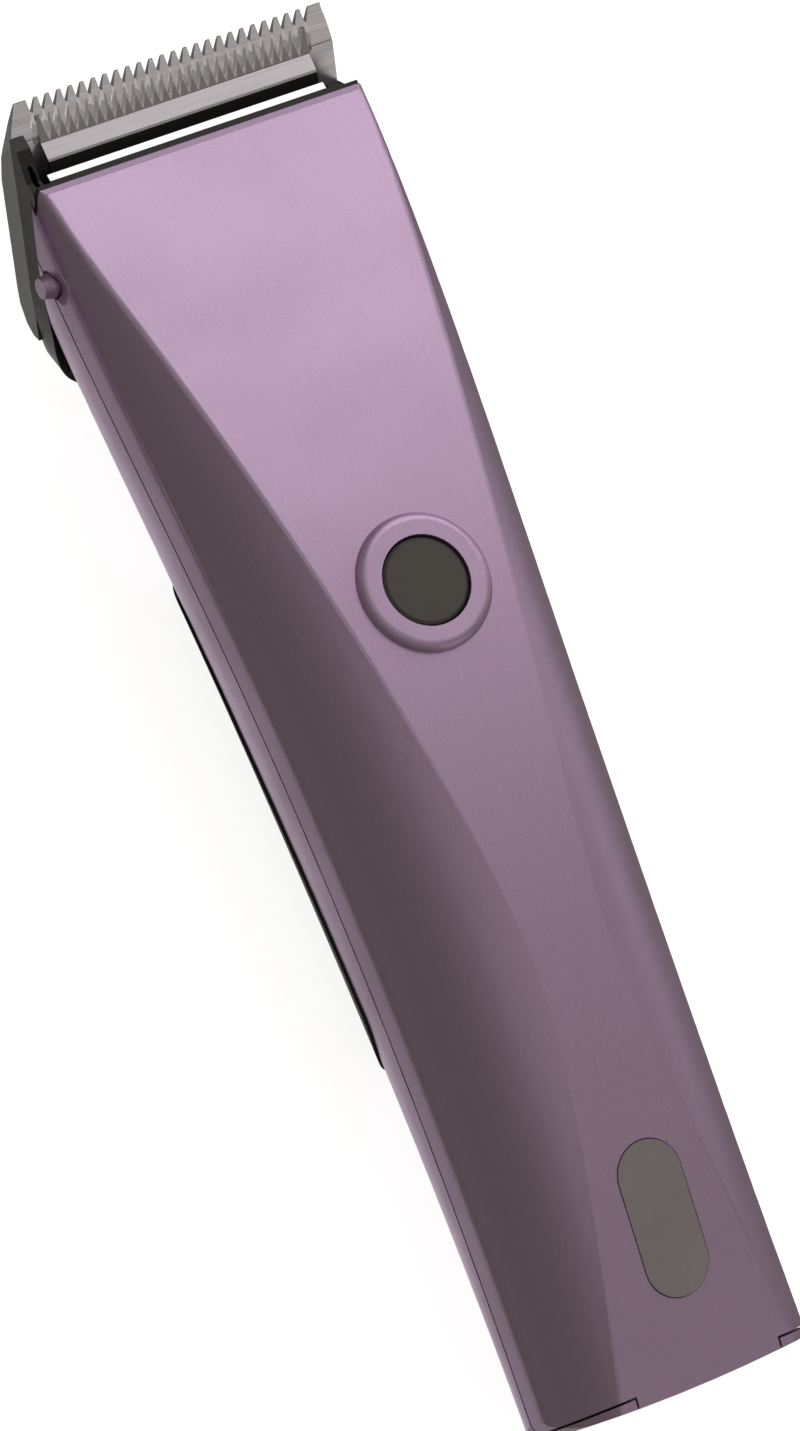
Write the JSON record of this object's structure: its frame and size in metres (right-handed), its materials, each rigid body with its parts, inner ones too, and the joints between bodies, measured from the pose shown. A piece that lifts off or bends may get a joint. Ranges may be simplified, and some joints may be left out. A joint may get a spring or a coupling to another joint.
{
  "type": "electric pet clipper",
  "caption": "Cordless hand-held pet clipper with an arched painted housing, a push button, an indicator window and a detachable reciprocating blade set.",
  "frame": {"origin": "on the flat of the grip, under the middle of the overall length", "axes": "+Y towards the blade tips, +Z out of the face with the push button, +X to the right seen from the tail"},
  "size_m": [0.0503, 0.1721, 0.0376],
  "materials": {
    "painted_shell": "satin lilac paint",
    "black_plastic": "moulded black",
    "grip_rubber": "soft black",
    "button_plastic": "dark grey brown",
    "lens": "smoked translucent",
    "blade_steel": "ground",
    "cutter_steel": "ground",
    "screw_steel": "zinc plated",
    "white_plastic": "natural acetal",
    "motor_steel": "zinc plated",
    "brass": "bright",
    "cell_wrap": "shrink wrap",
    "board_green": "solder mask",
    "lamp_chip": "clear resin"
  },
  "bodies": {
    "housing": {"front_shell": "painted_shell", "rear_shell": "painted_shell", "tail_cap": "painted_shell", "grip_insert": "grip_rubber", "mouth_liner": "black_plastic", "indicator_lens": "lens", "motor_can": "motor_steel", "motor_end_bell": "black_plastic", "motor_magnets": "motor_steel", "motor_tab_left": "brass", "motor_tab_right": "brass", "motor_cradle": "white_plastic", "motor_screw_left": "screw_steel", "motor_screw_right": "screw_steel", "motor_damper": "grip_rubber", "battery_cell": "cell_wrap", "cell_tab_tail": "brass", "cell_tab_front": "brass", "circuit_board": "board_green", "micro_switch": "black_plastic", "lamp_board": "board_green", "lamp_chip_1": "lamp_chip", "lamp_chip_2": "lamp_chip", "lamp_chip_3": "lamp_chip", "charge_socket": "black_plastic", "housing_screw_front": "screw_steel", "housing_screw_rear_left": "screw_steel", "housing_screw_rear_right": "screw_steel", "hinge_pin": "screw_steel"},
    "button": {"power_button": "button_plastic"},
    "rotor": {"rotor_core": "motor_steel", "commutator": "brass", "motor_shaft": "screw_steel", "eccentric_cam": "white_plastic", "drive_pin": "screw_steel", "balance_weight": "brass"},
    "blade_set": {"blade_holder": "black_plastic", "tension_bar": "blade_steel", "comb_screw_left": "screw_steel", "comb_screw_right": "screw_steel", "lever_pin": "screw_steel"},
    "comb": {"comb_blade": "blade_steel"},
    "cutter": {"cutter_blade": "cutter_steel", "cutter_carriage": "black_plastic"},
    "lever": {"length_lever": "black_plastic"}
  },
  "joints": [
    {"name": "button_push", "type": "slide", "parent": "housing", "child": "button", "axis": [0, -0.0646, -0.9979], "range_m": [0, 0.0008], "stiffness_N_per_m": 900, "springref_m": -0.0005},
    {"name": "motor_spin", "type": "hinge", "parent": "housing", "child": "rotor", "pos_m": [0, 0.05, 0.0172], "axis": [0, 1, 0], "continuous": true},
    {"name": "blade_set_open", "type": "hinge", "parent": "housing", "child": "blade_set", "pos_m": [0, 0.0515, 0.0046], "axis": [1, 0, 0], "range_deg": [-30, 0]},
    {"name": "cutter_stroke", "type": "slide", "parent": "blade_set", "child": "cutter", "axis": [1, 0, 0], "range_m": [-0.0012, 0.0012]},
    {"name": "length_lever_turn", "type": "hinge", "parent": "blade_set", "child": "lever", "pos_m": [0.014, 0.0553, 0.0063], "axis": [0, -0.5443, 0.8389], "range_deg": [0, 36.2]},
    {"name": "comb_slide", "type": "slide", "parent": "blade_set", "child": "comb", "axis": [0, 0.8389, 0.5443], "range_m": [-0.0016, 0]}
  ],
  "couplings": [
    {"joint": "length_lever_turn", "follows": "comb_slide", "rad_per_m": -392.7}
  ]
}
